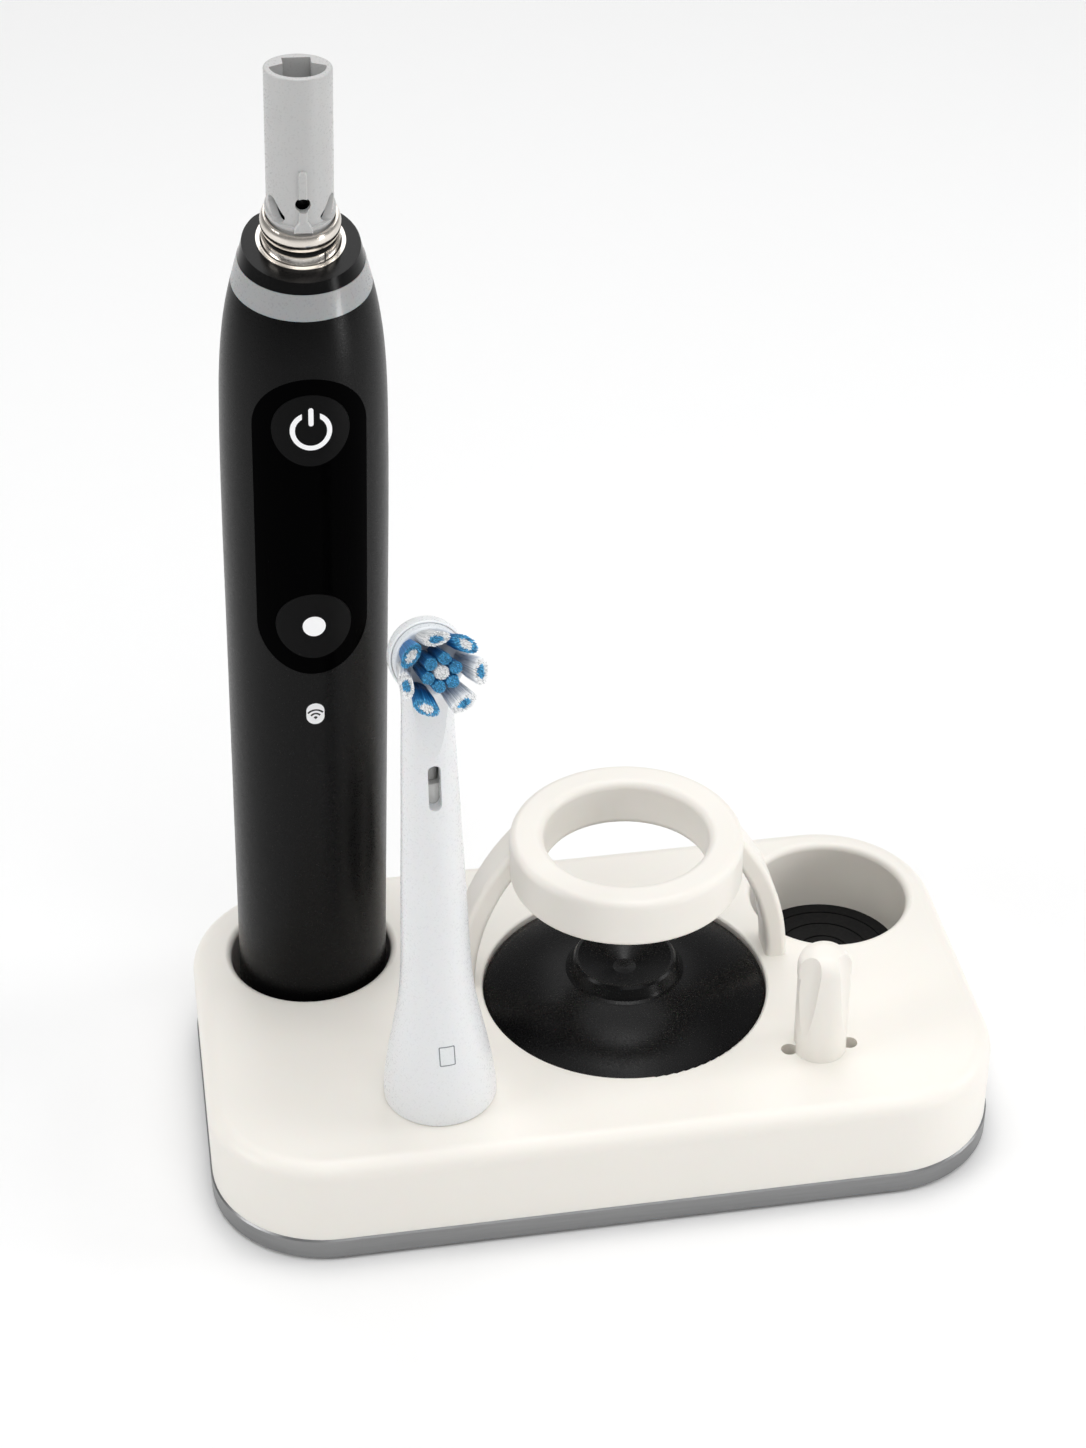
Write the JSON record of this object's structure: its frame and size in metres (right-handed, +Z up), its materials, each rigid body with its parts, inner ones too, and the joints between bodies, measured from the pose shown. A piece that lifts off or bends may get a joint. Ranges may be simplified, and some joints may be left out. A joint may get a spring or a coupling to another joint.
{
  "type": "electric toothbrush with charging stand",
  "caption": "Electric toothbrush handle and spare brush head in a white stand with a metal plate, a black inductive charging disc, an arched holder ring, wells and pegs.",
  "frame": {"origin": "on the table, under the middle of the stand's metal plate", "axes": "+Z up, +X along the long side of the stand towards the spare well, +Y to the back; the buttons and bristles face -Y"},
  "size_m": [0.147, 0.0842, 0.2011],
  "materials": {
    "stand_plastic": "satin, warm white",
    "plate_metal": "satin, fine brushed",
    "black_rubber": "matt",
    "screw_steel": "plated",
    "charger_plastic": "satin black",
    "copper_winding": "enamelled wire",
    "ferrite": "matt",
    "magnet_nickel": "nickel plated",
    "circuit_board": "solder mask",
    "board_parts": "moulded",
    "inner_nylon": "satin",
    "handle_black": "soft matt, fine grain",
    "cap_black": "satin",
    "panel_gloss": "polished",
    "button_black": "satin",
    "icon_white": "smooth",
    "light_guide": "translucent, pearl grey",
    "collar_gloss": "gloss black",
    "cup_silver": "satin silver",
    "ring_nickel": "polished nickel",
    "sleeve_grey": "satin light grey",
    "cell_wrap": "shrink wrap",
    "brush_white": "satin cool white",
    "mark_grey": "printed",
    "carrier_white": "smooth",
    "bristle_blue": "nylon filament",
    "bristle_white": "nylon filament",
    "bushing_bronze": "sintered",
    "rod_steel": "ground"
  },
  "bodies": {
    "stand": {"stand_body": "stand_plastic", "base_plate": "plate_metal", "rubber_feet": "black_rubber", "plate_screws": "screw_steel", "holder_ring": "stand_plastic", "brush_peg_left": "stand_plastic", "brush_peg_right": "stand_plastic", "well_pad_left": "black_rubber", "well_pad_right": "black_rubber", "charger_shell": "charger_plastic", "charger_base_cover": "charger_plastic", "charger_circuit_board": "circuit_board", "charger_board_parts": "board_parts", "coil_carrier": "inner_nylon", "charger_ferrite": "ferrite", "charger_magnet": "magnet_nickel", "charger_coil": "copper_winding", "cord_gland": "black_rubber"},
    "handle": {"handle_housing": "handle_black", "base_cap": "cap_black", "base_seal": "black_rubber", "receiver_coil": "copper_winding", "receiver_ferrite": "ferrite", "inner_chassis": "inner_nylon", "battery_cell": "cell_wrap", "main_circuit_board": "circuit_board", "tactile_switches": "board_parts", "display_module": "panel_gloss", "panel_lens": "panel_gloss", "wireless_badge": "icon_white", "light_ring": "light_guide", "led_board": "circuit_board", "neck_collar": "collar_gloss", "collar_cup": "cup_silver", "split_ring": "cup_silver", "neck_seal": "black_rubber", "retaining_ring": "ring_nickel", "connector_sleeve": "sleeve_grey", "stator_yoke": "screw_steel", "stator_coils": "copper_winding", "rod_bushes": "bushing_bronze"},
    "drive_rod": {"drive_rod": "rod_steel", "armature_magnet": "magnet_nickel", "rod_coupler": "charger_plastic"},
    "power_button": {"power_button": "button_black", "power_icon": "icon_white"},
    "mode_button": {"mode_button": "button_black", "mode_dot": "icon_white"},
    "brush_head": {"head_body": "brush_white", "head_insert": "inner_nylon", "size_mark": "mark_grey", "carrier_axle": "rod_steel"},
    "drive_link": {"drive_link": "inner_nylon"},
    "bristle_disc": {"bristle_carrier": "carrier_white", "tufts_outer_blue": "bristle_blue", "tufts_outer_white": "bristle_white", "tufts_inner_blue": "bristle_blue", "tuft_centre": "bristle_white"}
  },
  "joints": [
    {"name": "handle_lift", "type": "slide", "parent": "stand", "child": "handle", "axis": [0.038, 0, 0.9993], "range_m": [0, 0.04]},
    {"name": "power_press", "type": "slide", "parent": "handle", "child": "power_button", "axis": [0, 1, 0], "range_m": [0, 0.00035], "stiffness_N_per_m": 4000},
    {"name": "mode_press", "type": "slide", "parent": "handle", "child": "mode_button", "axis": [0, 1, 0], "range_m": [0, 0.00035], "stiffness_N_per_m": 4000},
    {"name": "rod_stroke", "type": "slide", "parent": "handle", "child": "drive_rod", "axis": [0.038, 0, 0.9993], "range_m": [-0.0008, 0.0008], "stiffness_N_per_m": 6000},
    {"name": "brush_head_lift", "type": "slide", "parent": "stand", "child": "brush_head", "axis": [0, 0, 1], "range_m": [0, 0.04]},
    {"name": "link_stroke", "type": "slide", "parent": "brush_head", "child": "drive_link", "axis": [0, 0, 1], "range_m": [-0.0008, 0.0008], "stiffness_N_per_m": 500},
    {"name": "bristle_turn", "type": "hinge", "parent": "brush_head", "child": "bristle_disc", "pos_m": [-0.0308, -0.0236, 0.11702], "axis": [0.0698, -0.9679, 0.2413], "range_deg": [-15.5, 15.5]}
  ],
  "couplings": [
    {"joint": "bristle_turn", "follows": "link_stroke", "rad_per_m": 323.43}
  ]
}
